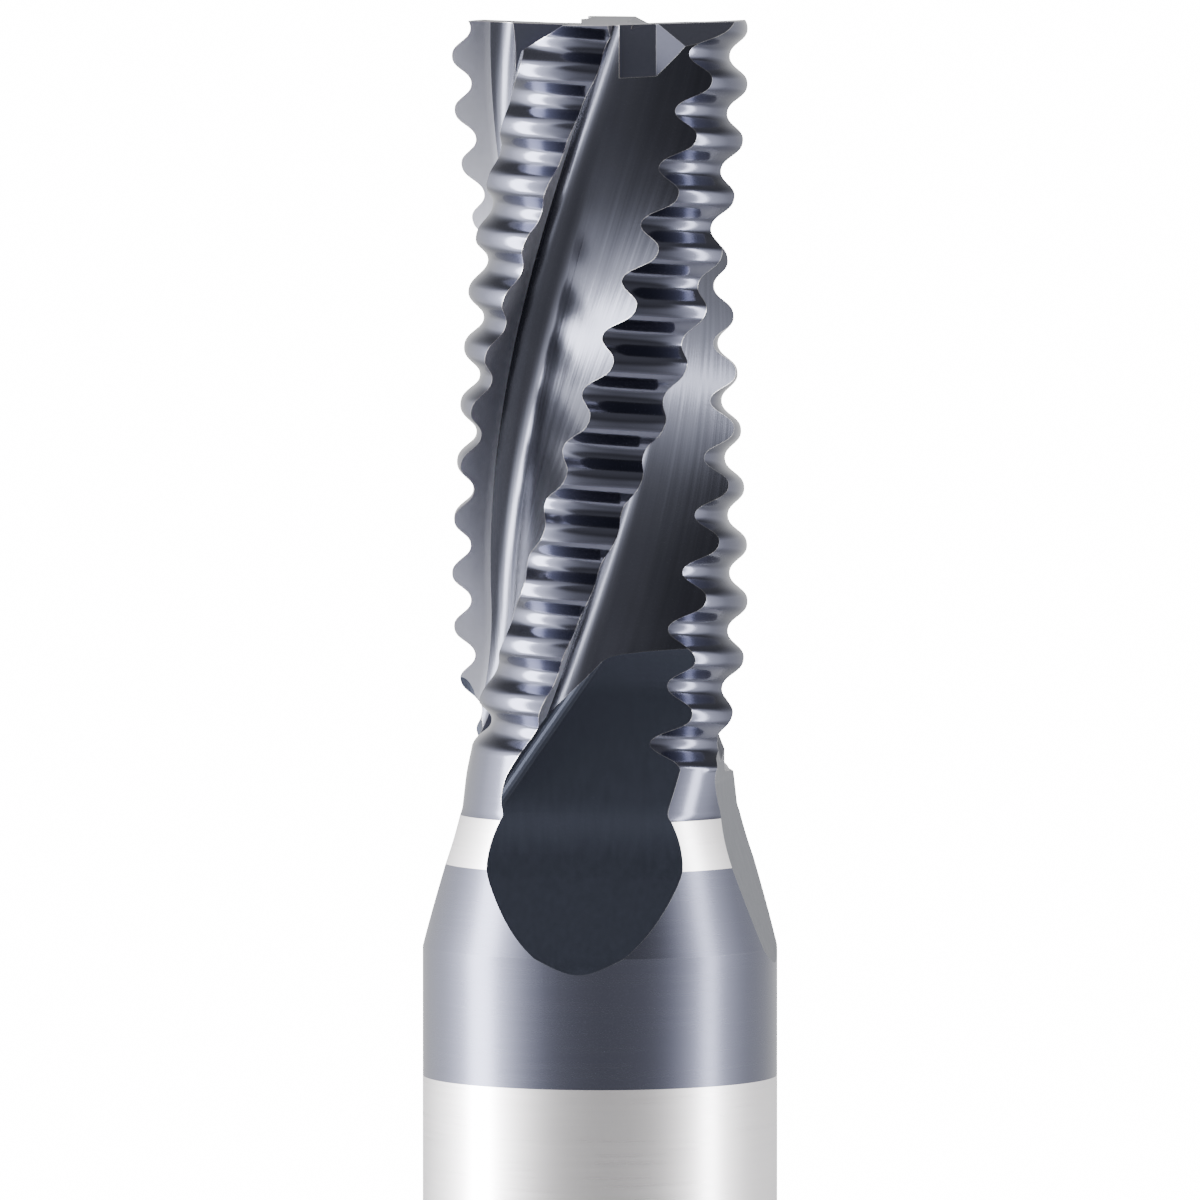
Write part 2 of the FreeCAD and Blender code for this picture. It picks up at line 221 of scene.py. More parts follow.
# %% [markdown]
# ## The ridged lands
# Behind each cutting edge the radius falls away, and a fine left-hand thread is ground over all four lands.
# Both follow a rule, so one node tree bends a plain tube into them. The tube's columns turn with the flutes.
# Below the neck the tube is wider than the blank, so there it takes nothing away.

# %% Rule for the ridged lands
LAND_NUMBERS = ("Cutter Radius", "Relief", "Relief Growth", "Pitch", "Depth", "Fullness", "Breadth",
                "First Crest", "Thread End", "Neck Foot Radius", "Cove Height", "Cove Width")
tree, group_in, given = new_tree("ridged lands", LAND_NUMBERS, ("Columns", "Rows"))
primitive, around, along = tube(tree, group_in)
JUMP = 20             # degrees ahead of an edge, inside the flute, where one land's rule gives way to the next
HALF_TURN = 180
BAR_END = -1          # the tube's lower end, under the shank
UNDERCUT = 0.0002     # from the neck's foot to the ring below it
LAST_FADE = 0.06      # how much of the last ridge is left out, in turns
row = 1 / given["Rows"]
foot_ring = calc("LESS_THAN", along, row * 0.5)
under_ring = calc("LESS_THAN", along, row * 1.5)
height = NECK_FOOT + (TIP + SPARE - NECK_FOOT) * (along - row * 2) / (1 - row * 2)
height = choose(under_ring, choose(foot_ring, BAR_END, NECK_FOOT - UNDERCUT), height)
spacing = 90 - INDEX_OFFSET
past_jump = (around - JUMP) % HALF_TURN
first_of_pair = calc("LESS_THAN", past_jump, spacing)
behind = choose(first_of_pair, spacing - JUMP, HALF_TURN - JUMP) - past_jump
direction = around + FIRST_EDGE - turn_rate * (TIP - height)
angle = behind * (pi / 180)
smooth = given["Cutter Radius"] * (1 - given["Relief"] * angle) - given["Relief Growth"] * angle * angle


def ridges_down(direction, height):
    """How many ridges below the tip a point is."""
    return (TIP - given["First Crest"] - height) / given["Pitch"] - (direction + 180) / 360


turns = ridges_down(direction, height)
edge_at_neck = direction + behind - turn_rate * (height - NECK_TOP)
last_crest = calc("ROUND", ridges_down(edge_at_neck, given["Thread End"]))
full = given["Fullness"]
swing = 1 - (1 + full) * calc("COSINE", turns * (2 * pi)) + full * calc("COSINE", turns * (6 * pi))
wave = calc("MAXIMUM", swing / 2, 0) ** given["Breadth"]
ridged = smooth - given["Depth"] * wave
in_thread = calc("LESS_THAN", turns, last_crest - LAST_FADE)
down_neck = between_0_and_1((NECK_TOP - height) / (NECK_TOP - NECK_FOOT))
into_cove = calc("MAXIMUM", 1 - (height - NECK_FOOT) / given["Cove Height"], 0)
neck = choose(down_neck, given["Neck Foot Radius"], smooth) + given["Cove Width"] * into_cove * into_cove
radius = choose(in_thread, ridged, neck)
radius = choose(under_ring, SHANK_RADIUS + 1, radius)
turned_by = direction * (pi / 180)
place_and_finish(tree, group_in, primitive, radius * calc("COSINE", turned_by),
                 radius * calc("SINE", turned_by), height)
ridge_rule = tree
print("the ridge rule has", len(tree.nodes), "nodes")

# %% [markdown]
# ## The flutes
# A grinding wheel passes along each helix and leaves a hooked cutting face, a round gullet and a straight
# floor that leans a little. Near the neck the wheel lifts out. The tree bends a tube into the space that the
# wheel takes away: its columns follow the flute's outline, and its rows climb the helix.

# %% Rule for a flute
FLUTE_NUMBERS = ("Cutter Radius", "Core Radius", "Rake", "Gullet Radius", "Direction", "Run-out Start",
                 "Run-out Rise", "Lift-off", "Floor Tilt")
ARC_SPANS = 14
FLAT_SPANS = 8
FLUTE_COLUMNS = ARC_SPANS + 2 * FLAT_SPANS + 2
REACH = 1.3           # how far past the cutter's radius the removed space goes
tree, group_in, given = new_tree("flute", FLUTE_NUMBERS, ("Columns", "Rows"))
primitive, around, along = tube(tree, group_in)
height = FLUTE_BOTTOM + (TIP + SPARE - FLUTE_BOTTOM) * along
column = calc("ROUND", (360 - around) / 360 * given["Columns"]) % given["Columns"]
hook = given["Rake"] * (pi / 180)
slope = calc("TANGENT", hook)
below = calc("MAXIMUM", given["Run-out Start"] - height, 0)
lifted = calc("MAXIMUM", given["Lift-off"] - height, 0)
floor = given["Core Radius"] + given["Run-out Rise"] * below * below + lifted * lifted
centre_x = floor + given["Gullet Radius"]
centre_y = (centre_x - given["Cutter Radius"]) * slope + given["Gullet Radius"] / calc("COSINE", hook)
far = given["Cutter Radius"] * REACH
on_face = calc("MINIMUM", column / FLAT_SPANS, 1)
on_arc = between_0_and_1((column - FLAT_SPANS) / ARC_SPANS)
on_floor = between_0_and_1((column - FLAT_SPANS - ARC_SPANS) / FLAT_SPANS)
arc_angle = (hook - pi / 2) * (1 - on_arc) - pi * on_arc
arc_x = centre_x + given["Gullet Radius"] * calc("COSINE", arc_angle)
arc_y = centre_y + given["Gullet Radius"] * calc("SINE", arc_angle)
far_x = floor - (far - centre_y) * calc("TANGENT", given["Floor Tilt"] * (pi / 180))
face_x = far * (1 - on_face) + arc_x * on_face
right = choose(calc("LESS_THAN", column, FLAT_SPANS), face_x, arc_x * (1 - on_floor) + far_x * on_floor)
ahead = choose(calc("LESS_THAN", column, FLAT_SPANS), (face_x - given["Cutter Radius"]) * slope,
               arc_y * (1 - on_floor) + far * on_floor)
outside = calc("GREATER_THAN", column, FLUTE_COLUMNS - 1.5)   # the last column closes the outline
right = choose(outside, far, right)
turned_by = (given["Direction"] - turn_rate * (TIP - height)) * (pi / 180)
cosine = calc("COSINE", turned_by)
sine = calc("SINE", turned_by)
place_and_finish(tree, group_in, primitive, right * cosine - ahead * sine,
                 right * sine + ahead * cosine, height)
flute_rule = tree
print("the flute rule has", len(tree.nodes), "nodes")

# %% [markdown]
# ## The turned blank
# Shank, shoulder, collar, neck and cutter are turned from one profile. The rings where a finish begins are
# part of the profile, so that each finish gets whole faces.

# %% Turn the blank
COAT_FOOT = 32.16
BLANK_SIDES = 288
COATED, BARE, LAND, FLUTE, FACET, END, RAKE = range(7)
FINISH_NAMES = ("coated_turned", "bare_carbide", "coated_land", "coated_flute", "coated_facet", "coated_end",
                "coated_rake")
finishes = [bpy.data.materials.new(name) for name in FINISH_NAMES]
BLANK_PROFILE = (     # radius, height, and the finish of the band above
    (SHANK_RADIUS - SHANK_CHAMFER, 0, BARE),
    (SHANK_RADIUS, SHANK_CHAMFER, BARE),
    (SHANK_RADIUS, COAT_FOOT, COATED),
    (SHANK_RADIUS, SHANK_TOP, COATED),
    (COLLAR_RADIUS, COLLAR_FOOT, BARE),
    (NECK_RADIUS, NECK_FOOT, COATED),
    (BLANK_RADIUS, NECK_FOOT, COATED),
    (BLANK_RADIUS, TIP, COATED),
)


def new_object(name, bm, materials=()):
    bmesh.ops.recalc_face_normals(bm, faces=bm.faces)
    mesh = bpy.data.meshes.new(name)
    for material in materials:
        mesh.materials.append(material)
    bm.to_mesh(mesh)
    bm.free()
    piece = bpy.data.objects.new(name, mesh)
    bpy.context.collection.objects.link(piece)
    return piece


bm = bmesh.new()
rings = []
for radius, height, finish in BLANK_PROFILE:
    rings.append([bm.verts.new((radius * MM * cos(2 * pi * k / BLANK_SIDES),
                                radius * MM * sin(2 * pi * k / BLANK_SIDES), height * MM))
                  for k in range(BLANK_SIDES)])
for (radius, height, finish), lower, upper in zip(BLANK_PROFILE, rings, rings[1:]):
    for k in range(BLANK_SIDES):
        following = (k + 1) % BLANK_SIDES
        bm.faces.new((lower[k], lower[following], upper[following], upper[k])).material_index = finish
bm.faces.new(rings[0][::-1]).material_index = BARE
bm.faces.new(rings[-1]).material_index = END
blank = new_object(NODE, bm, finishes)
print("blank:", len(blank.data.polygons), "faces")

# %% [markdown]
# ## The run-outs, the end gashes and the end face
# Each of these is one pass of a wheel. A gash or a clearance is a plain prism, an outline swept along one
# line, so one small function makes both. A run-out facet follows the wheel as it swings out, with a round
# inner corner and a side wall that leans, so it is joined from sections at many heights.

# %% Make a prism
def prism(name, outline, frame_matrix, sweep, finish):
    """An outline in the frame's XZ plane, moved there and swept along a vector of that frame."""
    bm = bmesh.new()
    near = [bm.verts.new(frame_matrix @ (Vector((x, 0, z)) * MM)) for x, z in outline]
    far = [bm.verts.new(frame_matrix @ ((Vector((x, 0, z)) + sweep) * MM)) for x, z in outline]
    count = len(outline)
    bm.faces.new(near)
    bm.faces.new(far[::-1])
    for k in range(count):
        following = (k + 1) % count
        bm.faces.new((near[k], far[k], far[following], near[following]))
    for face in bm.faces:
        face.material_index = finish
    return new_object(name, bm, finishes)


def turned_frame(direction, height=0.0):
    """X points outwards at a direction, Z up the tool."""
    return Matrix.Translation((0, 0, height * MM)) @ Matrix.Rotation(radians(direction), 4, "Z")


print("edge 1 at the neck's foot, degrees:", round(edge_direction(0, NECK_FOOT), 1))

# %% Cut the run-out facets
FACET_TURN = (36.1, 31.1)         # degrees ahead of the edge: deep facets, shallow facets
FACET_HEAD = NECK_TOP + 3.8
# height, and the slope there in degrees from upright
DEEP_SLOPES = ((34.09, 12), (34.4, 29.6), (35.55, 29.6), (36.55, 2), (36.95, 12.5), (38.7, 12.5), (39.6, -12),
               (FACET_HEAD, -12))
SHALLOW_SLOPES = ((34.1, 12), (34.3, 18.4), (35.9, 18.4), (37.2, 3), (FACET_HEAD, 3))
RIM_OFFSET = 1.08
CORNER_RADIUS = 0.35
CORNER_SPANS = 8
BEND_SPANS = 8
rim_lean = tan(radians(34))
wide = SHANK_RADIUS + 3           # well outside the blank


def slope_outline(slopes):
    """A facet's outline from its slope, in degrees, at some heights. Between them it changes evenly."""
    points = [(SHANK_RADIUS, slopes[0][0])]
    for (low, low_slope), (high, high_slope) in zip(slopes, slopes[1:]):
        spans = 1 if low_slope == high_slope else BEND_SPANS
        for span in range(spans):
            slope = low_slope + (high_slope - low_slope) * (span + 0.5) / spans
            radius, height = points[-1]
            rise = (high - low) / spans
            points.append((radius - rise * tan(radians(slope)), height + rise))
    return points


def facet_section(depth, height):
    """Across the tool at a height: the slope, a round corner and the leaning side wall."""
    wall = -RIM_OFFSET + rim_lean * (height - NECK_TOP)
    points = [(depth, wide)]
    for step in range(CORNER_SPANS + 1):
        turn = pi / 2 * step / CORNER_SPANS
        points.append((depth + CORNER_RADIUS * (1 - cos(turn)), wall + CORNER_RADIUS * (1 - sin(turn))))
    return points + [(wide, wall), (wide, wide)]


def facet_cutter(i):
    """Sections along the slope, joined into one closed form."""
    bm = bmesh.new()
    rings = []
    for depth, height in slope_outline(SHALLOW_SLOPES if i % 2 else DEEP_SLOPES):
        rings.append([bm.verts.new((x * MM, y * MM, height * MM)) for x, y in facet_section(depth, height)])
    for lower, upper in zip(rings, rings[1:]):
        for k in range(len(lower)):
            following = (k + 1) % len(lower)
            bm.faces.new((lower[k], lower[following], upper[following], upper[k]))
    bm.faces.new(rings[0])
    bm.faces.new(rings[-1])
    for face in bm.faces:
        face.material_index = FACET
    direction = edge_direction(i, NECK_FOOT) + FACET_TURN[i % 2]
    bmesh.ops.transform(bm, matrix=turned_frame(direction), verts=bm.verts)
    return new_object("facet_cutter", bm, finishes)


cutters = [facet_cutter(i) for i in range(4)]
print("facet cutters:", len(cutters))

# %% Cut the end teeth
GASH_FALL = tan(radians(43.3))
GASH_TURN = 7.4
GASH_START = 0.456
GASH_WIDTH = 0.62
GASH_SIDE = tan(radians(36.4))
CLEARANCE_TURN = 17.2
LAND_OFFSET = 0.22
END_FALL = tan(radians(29.5))
CLEAR_OF_GASH = CUTTER_RADIUS * sin(radians(GASH_TURN)) + GASH_WIDTH / 2
size = 2 * CUTTER_RADIUS


def gash_cutter(i):
    """It starts near the axis and falls towards the corner of tooth i."""
    along = edge_direction(i, TIP) - GASH_TURN
    corner = Vector((CUTTER_RADIUS * MM, 0, (TIP + SPARE * GASH_FALL) * MM))
    start = turned_frame(edge_direction(i, TIP)) @ corner
    start -= turned_frame(along) @ Vector(((CUTTER_RADIUS - GASH_START + SPARE) * MM, 0, 0))
    here = Matrix.Translation(start) @ Matrix.Rotation(radians(along + 90), 4, "Z")
    outline = [(0, 0), (GASH_WIDTH, 0), (GASH_WIDTH + size / GASH_SIDE, size), (0, size)]
    return prism("gash_cutter", outline, here, Vector((0, -size, -size * GASH_FALL)), END)


def clearance_cutter(i):
    """It starts behind the flat of tooth i and falls towards the heel."""
    here = turned_frame(edge_direction(i, TIP) - CLEARANCE_TURN - 90, TIP)
    here = here @ Matrix.Translation((0, CLEAR_OF_GASH * MM, 0))
    outline = [(0, 0), (size, -size * END_FALL), (size, size), (size * END_FALL, size)]
    outline = [(LAND_OFFSET + x, z) for x, z in outline]
    return prism("clearance_cutter", outline, here, Vector((0, size, 0)), END)


cutters += [gash_cutter(i) for i in range(4)]
cutters += [clearance_cutter(i) for i in range(4)]
print("cutters so far:", len(cutters))

# %% Hollow the end face
DISH = tan(radians(2))
bm = bmesh.new()
bmesh.ops.create_cone(bm, cap_ends=True, segments=BLANK_SIDES, radius1=0.0, radius2=SHANK_RADIUS * MM,
                      depth=SHANK_RADIUS * DISH * MM)
bmesh.ops.remove_doubles(bm, verts=bm.verts, dist=1e-8)
for vertex in bm.verts:
    vertex.co.z += (TIP - CUTTER_RADIUS * DISH + SHANK_RADIUS * DISH / 2) * MM
for face in bm.faces:
    face.material_index = END
cutters.append(new_object("end_hollow", bm, finishes))
print("all cutters:", len(cutters))

# %% [markdown]
# ## Grinding it all away
# Each removed space is a closed mesh, so Mesh Boolean nodes can take them off one after another, as the
# wheels did. The sharp edges come out of the cuts by themselves.

# %% Run the rules and grind
LAND_VALUES = {
    "Cutter Radius": CUTTER_RADIUS, "Relief": tan(radians(5.8)), "Relief Growth": 0.12, "Pitch": 0.97,
    "Depth": 0.304, "Fullness": 0.045, "Breadth": 1.1, "First Crest": 0.61, "Thread End": NECK_TOP - 0.97 / 3,
    "Neck Foot Radius": 2.37, "Cove Height": 0.16, "Cove Width": 0.05, "Columns": 240, "Rows": 440,
}
RAKE_ANGLE = 8
FLUTE_VALUES = {
    "Cutter Radius": CUTTER_RADIUS, "Core Radius": 1.4, "Rake": RAKE_ANGLE, "Gullet Radius": 0.5,
    "Lift-off": NECK_TOP - 0.15, "Floor Tilt": 4.7, "Columns": FLUTE_COLUMNS, "Rows": 150,
}
RUN_OUT_START = (NECK_TOP + 1.85, NECK_TOP + 2.45)   # deep pair, shallow pair
RUN_OUT_RISE = (0.11, 0.103)
ridged_bar = run_tree("ridged_bar", ridge_rule, {**LAND_VALUES, "Material": finishes[LAND]})
flutes = []
for i in range(4):
    own = {"Direction": FIRST_EDGE + INDEX[i], "Run-out Start": RUN_OUT_START[i % 2],
           "Run-out Rise": RUN_OUT_RISE[i % 2], "Material": finishes[FLUTE]}
    flutes.append(run_tree("flute_%d" % (i + 1), flute_rule, {**FLUTE_VALUES, **own}))
for piece, finish in [(ridged_bar, LAND)] + [(flute, FLUTE) for flute in flutes]:
    piece.data.materials.clear()
    for material in finishes:
        piece.data.materials.append(material)
    piece.data.polygons.foreach_set("material_index", [finish] * len(piece.data.polygons))


ON_FACE = 0.01


def finish_rake(flute, i):
    """The cutting face gets its own finish, painted lighter as a sheen: it is the straight part of the flute
    behind edge i.
    """
    for face in flute.data.polygons:
        x, y, z = face.center / MM
        turn = radians(edge_direction(i, z))
        right = x * cos(turn) + y * sin(turn)
        ahead = y * cos(turn) - x * sin(turn)
        if abs(ahead - (right - CUTTER_RADIUS) * tan(radians(RAKE_ANGLE))) < ON_FACE:
            face.material_index = RAKE


for i, flute in enumerate(flutes):
    finish_rake(flute, i)
print("faces of one cutting face:", sum(face.material_index == RAKE for face in flutes[0].data.polygons))


def grinding_tree(steps):
    """A tree with one Mesh Boolean after another. A step is an operation and its objects."""
    tree = bpy.data.node_groups.new("grinding", "GeometryNodeTree")
    tree.interface.new_socket("Geometry", in_out="INPUT", socket_type="NodeSocketGeometry")
    tree.interface.new_socket("Geometry", in_out="OUTPUT", socket_type="NodeSocketGeometry")
    group_in = tree.nodes.new("NodeGroupInput")
    out = tree.nodes.new("NodeGroupOutput")
    shape = group_in.outputs[0]
    for operation, objects in steps:
        boolean = tree.nodes.new("GeometryNodeMeshBoolean")
        boolean.operation = operation
        boolean.solver = "MANIFOLD"
        first = boolean.inputs["Mesh 1"] if operation == "DIFFERENCE" else boolean.inputs["Mesh 2"]
        tree.links.new(shape, first)
        for other in objects:
            info = tree.nodes.new("GeometryNodeObjectInfo")
            info.transform_space = "RELATIVE"
            info.inputs["Object"].default_value = other
            tree.links.new(info.outputs["Geometry"], boolean.inputs["Mesh 2"])
        shape = boolean.outputs["Mesh"]
    tree.links.new(shape, out.inputs[0])
    return tree


steps = [("INTERSECT", [ridged_bar]), ("DIFFERENCE", flutes), ("DIFFERENCE", cutters[:4]),
         ("DIFFERENCE", cutters[4:8]), ("DIFFERENCE", cutters[8:12]), ("DIFFERENCE", cutters[12:])]
modifier = blank.modifiers.new("grinding", "NODES")
modifier.node_group = grinding_tree(steps)
ground = bpy.data.meshes.new_from_object(blank.evaluated_get(bpy.context.evaluated_depsgraph_get()))
blank.modifiers.clear()
blank.data = ground
mill = blank
for helper in [ridged_bar, *flutes, *cutters]:
    bpy.data.objects.remove(helper)
print("ground tool:", len(ground.vertices), "points,", len(ground.polygons), "faces")

# %% [markdown]
# ## Smooth surfaces and crisp edges
# The ridges are round and the cuts are crisp. An edge is drawn sharp where its two faces come from different
# cuts, or where the faces of one turned or ground surface meet at a clear angle.

# %% Mark the crisp edges
def mark_edges(mesh):
    bm = bmesh.new()
    bm.from_mesh(mesh)
    bmesh.ops.remove_doubles(bm, verts=bm.verts, dist=2e-8)
    bmesh.ops.dissolve_degenerate(bm, edges=bm.edges, dist=1e-8)
    crisp = {COATED: radians(8), BARE: radians(8), LAND: radians(60), FLUTE: radians(40),
             FACET: radians(8), END: radians(5), RAKE: radians(40)}
    sharp_count = 0
    open_count = 0
    for edge in bm.edges:
        if len(edge.link_faces) != 2:
            open_count += 1
            continue
        one, other = edge.link_faces
        angle = edge.calc_face_angle(0)
        if one.material_index != other.material_index:
            edge.smooth = angle < radians(6)
        else:
            edge.smooth = angle < crisp[one.material_index]
        sharp_count += not edge.smooth
    for face in bm.faces:
        face.smooth = True
    bm.to_mesh(mesh)
    bm.free()
    print("sharp edges:", sharp_count, "open edges:", open_count)


mark_edges(ground)
print("triangles:", sum(len(face.vertices) - 2 for face in ground.polygons))

# %% [markdown]
# ## Effects that several finishes share
# Every surface of the tool is ground, so it carries fine lines that run the way the wheel ran. They go round
# the turned parts, and up the helix in the flutes. One node group makes both: it turns the position back by
# the helix, stretches it, and reads a noise there. Another finds the corners, where the film is thinnest, and
# lightens them: there the film is worn, and a painted highlight runs along every edge.

# %% Build the shared shader groups
def new_group(name, numbers, outputs):
    """A shader node group with named inputs. It gives the group, its inputs as fields, and its output node."""
    group = bpy.data.node_groups.new(name, "ShaderNodeTree")
    for label, value in numbers.items():
        group.interface.new_socket(label, in_out="INPUT", socket_type="NodeSocketFloat").default_value = value
    for label, kind in outputs.items():
        group.interface.new_socket(label, in_out="OUTPUT", socket_type="NodeSocket" + kind)
    group_in = group.nodes.new("NodeGroupInput")
    group_out = group.nodes.new("NodeGroupOutput")
    return group, {label: Field(group, group_in.outputs[label]) for label in numbers}, group_out


def position_in_mm(tree):
    place = tree.nodes.new("ShaderNodeTexCoord")
    split = tree.nodes.new("ShaderNodeSeparateXYZ")
    tree.links.new(place.outputs["Object"], split.inputs[0])
    return [Field(tree, socket) / MM for socket in split.outputs]


def noise(tree, x, y, z, detail):
    """Noise at a stretched position, from 0 to 1."""
    join = tree.nodes.new("ShaderNodeCombineXYZ")
    for socket, value in zip(join.inputs, (x, y, z)):
        tree.links.new(value.socket, socket)
    texture = tree.nodes.new("ShaderNodeTexNoise")
    texture.inputs["Scale"].default_value = 1
    texture.inputs["Detail"].default_value = detail
    tree.links.new(join.outputs[0], texture.inputs["Vector"])
    return Field(tree, texture.outputs["Fac"])


def build_grind_lines():
    inputs = {"Twist": 0, "Across": 1, "Up": 30, "Depth": 0.3}
    group, given, group_out = new_group("grind lines", inputs, {"Lines": "Float", "Normal": "Vector"})
    x, y, z = position_in_mm(group)
    back = z * given["Twist"] * (pi / 180)
    cosine = calc("COSINE", back)
    sine = calc("SINE", back)
    across = (x * cosine + y * sine) * given["Across"]
    ahead = (y * cosine - x * sine) * given["Across"]
    lines = noise(group, across, ahead, z * given["Up"], 3)
    bump = group.nodes.new("ShaderNodeBump")
    bump.inputs["Strength"].default_value = 1
    depth = given["Depth"] * (MM * 0.01)
    group.links.new(depth.socket, bump.inputs["Distance"])
    group.links.new(lines.socket, bump.inputs["Height"])
    group.links.new(lines.socket, group_out.inputs["Lines"])
    group.links.new(bump.outputs["Normal"], group_out.inputs["Normal"])
    return group


PATCHES_PER_MM = 6
BEND_GAIN = 14        # a corner bends the smoothed normal only a little, so it is made stronger


def build_corner_wear_and_highlight():
    """1 on a narrow strip along every corner, broken up by a noise: worn film and a painted edge highlight."""
    group, given, group_out = new_group("corner wear and highlight", {"Width": 0.02, "Amount": 0.6}, {"Mask": "Float"})
    bevel = group.nodes.new("ShaderNodeBevel")
    bevel.samples = 4
    group.links.new((given["Width"] * MM).socket, bevel.inputs["Radius"])
    surface = group.nodes.new("ShaderNodeNewGeometry")
    dot = group.nodes.new("ShaderNodeVectorMath")
    dot.operation = "DOT_PRODUCT"
    group.links.new(bevel.outputs[0], dot.inputs[0])
    group.links.new(surface.outputs["Normal"], dot.inputs[1])
    bent = 1 - Field(group, dot.outputs["Value"])
    x, y, z = position_in_mm(group)
    broken = noise(group, x * PATCHES_PER_MM, y * PATCHES_PER_MM, z * PATCHES_PER_MM, 2) * 0.8 + 0.4
    mask = calc("MINIMUM", bent * BEND_GAIN * given["Amount"] * broken, 1)
    group.links.new(mask.socket, group_out.inputs["Mask"])
    return group


grind_lines = build_grind_lines()
corner_wear_and_highlight = build_corner_wear_and_highlight()
print("shared shader groups:", grind_lines.name, "and", corner_wear_and_highlight.name)

# %% [markdown]
# ## Finishes
# The film is a hard dark violet-grey layer. It reflects little from the front and much at a grazing angle, as
# a metal shader of a dark colour does. Below it, and in the band that is ground last, the carbide is bare.
# The cutting faces are painted a lighter copy of the film, a painted sheen. The flutes and the run-out facets
# are painted darker copies of it, painted shade, and the flutes keep the boldest lines.

# %% Make one finish
CLOUD_SHARE = 0.6     # how much of the shade comes from soft clouds. The rest comes from the lines
# the corners' colour: bare carbide where the film wears off, and a painted highlight along every edge
CARBIDE_AND_HIGHLIGHT = (0.62, 0.6, 0.6)


def ground_finish(material, dark, light, roughness, lines, wear_and_highlight):
    """Metal whose colour and roughness follow its grind lines, with corners painted lighter: worn film and a
    painted edge highlight.
    """
    material.use_nodes = True
    tree = material.node_tree
    shader = tree.nodes["Principled BSDF"]
    shader.inputs["Metallic"].default_value = 1
    ground_lines = tree.nodes.new("ShaderNodeGroup")
    ground_lines.node_tree = grind_lines
    for label, value in lines.items():
        ground_lines.inputs[label].default_value = value
    worn_and_highlit = tree.nodes.new("ShaderNodeGroup")
    worn_and_highlit.node_tree = corner_wear_and_highlight
    worn_and_highlit.inputs["Amount"].default_value = wear_and_highlight
    x, y, z = position_in_mm(tree)
    clouds = noise(tree, x * 0.9, y * 0.9, z * 0.5, 2)
    line_value = Field(tree, ground_lines.outputs["Lines"])
    shade = tree.nodes.new("ShaderNodeMix")
    shade.data_type = "RGBA"
    shade.inputs["A"].default_value = (*dark, 1)
    shade.inputs["B"].default_value = (*light, 1)
    tree.links.new((clouds * CLOUD_SHARE + line_value * (1 - CLOUD_SHARE)).socket, shade.inputs["Factor"])
    # the corners turn towards carbide: worn film, and a painted highlight along every edge
    corner = tree.nodes.new("ShaderNodeMix")
    corner.data_type = "RGBA"
    corner.inputs["B"].default_value = (*CARBIDE_AND_HIGHLIGHT, 1)
    tree.links.new(shade.outputs["Result"], corner.inputs["A"])
    tree.links.new(worn_and_highlit.outputs["Mask"], corner.inputs["Factor"])
    tree.links.new(corner.outputs["Result"], shader.inputs["Base Color"])
    smoothest, roughest = roughness
    tree.links.new((line_value * (roughest - smoothest) + smoothest).socket, shader.inputs["Roughness"])
    tree.links.new(ground_lines.outputs["Normal"], shader.inputs["Normal"])


print("a finish reads the groups:", grind_lines.name, "and", corner_wear_and_highlight.name)

# %% Give each surface its finish
ROUND = {"Twist": 0, "Across": 0.5, "Up": 16, "Depth": 0.002}
FINE_ROUND = {"Twist": 0, "Across": 0.5, "Up": 30, "Depth": 0.06}
UP_HELIX = {"Twist": turn_rate, "Across": 7, "Up": 0.1, "Depth": 0.42}
UP_SLOPE = {"Twist": 0, "Across": 14, "Up": 0.6, "Depth": 0.05}
FILM_DARK = (0.094, 0.098, 0.135)
FILM_LIGHT = (0.118, 0.122, 0.162)
# dark shade, light shade, roughness from and to, grind lines, corner wear and painted edge highlight
RECIPES = {
    COATED: ((0.104, 0.108, 0.147), (0.112, 0.116, 0.155), (0.25, 0.29), ROUND, 0.3),
    BARE: ((0.74, 0.71, 0.73), (0.86, 0.84, 0.85), (0.24, 0.34), ROUND, 0.2),
    LAND: (FILM_DARK, FILM_LIGHT, (0.14, 0.2), FINE_ROUND, 0.5),
    # the flutes: a darker copy of the film, painted shade in the hollows, with the boldest grind lines
    FLUTE: ((0.044, 0.046, 0.06), (0.115, 0.119, 0.15), (0.18, 0.28), UP_HELIX, 0.5),
    # the run-out facets: a darker copy of the film, painted shade
    FACET: ((0.058, 0.065, 0.09), (0.064, 0.071, 0.098), (0.3, 0.4), UP_SLOPE, 0.4),
    END: (FILM_DARK, FILM_LIGHT, (0.25, 0.35), UP_SLOPE, 0.6),
    # the cutting faces: a lighter copy of the film, a painted sheen
    RAKE: ((0.34, 0.345, 0.4), (0.38, 0.385, 0.44), (0.34, 0.46), UP_SLOPE, 0.5),
}
for surface, recipe in RECIPES.items():
    ground_finish(finishes[surface], *recipe)
print("finishes in use:", [material.name for material in mill.data.materials])

# %% [markdown]
# ## The studio
# The tool stands on a small pale table in a white room. Two tall soft lights stand at its sides. The room is
# brightest round them and dims towards the camera, which gives the metal its dark middle. The glow reaches
# higher where it is brighter, so the slopes of the ridges turn dark only in front.

# %% Stand it in a studio
TABLE_RADIUS = 50 * MM
bm = bmesh.new()
bmesh.ops.create_circle(bm, cap_ends=True, segments=96, radius=TABLE_RADIUS)
table = new_object("table", bm)
table_finish = bpy.data.materials.new("pale_table")
table_finish.use_nodes = True
table_tree = table_finish.node_tree
table_shader = table_tree.nodes["Principled BSDF"]
table_shader.inputs["Roughness"].default_value = 0.6
x, y, z = position_in_mm(table_tree)
grain = noise(table_tree, x * 0.4, y * 0.4, z, 3) * 0.06 + 0.78
table_tree.links.new(grain.socket, table_shader.inputs["Base Color"])
table.data.materials.append(table_finish)


LIGHT_DISTANCE = 600 * MM
LIGHT_HEIGHT = 100 * MM


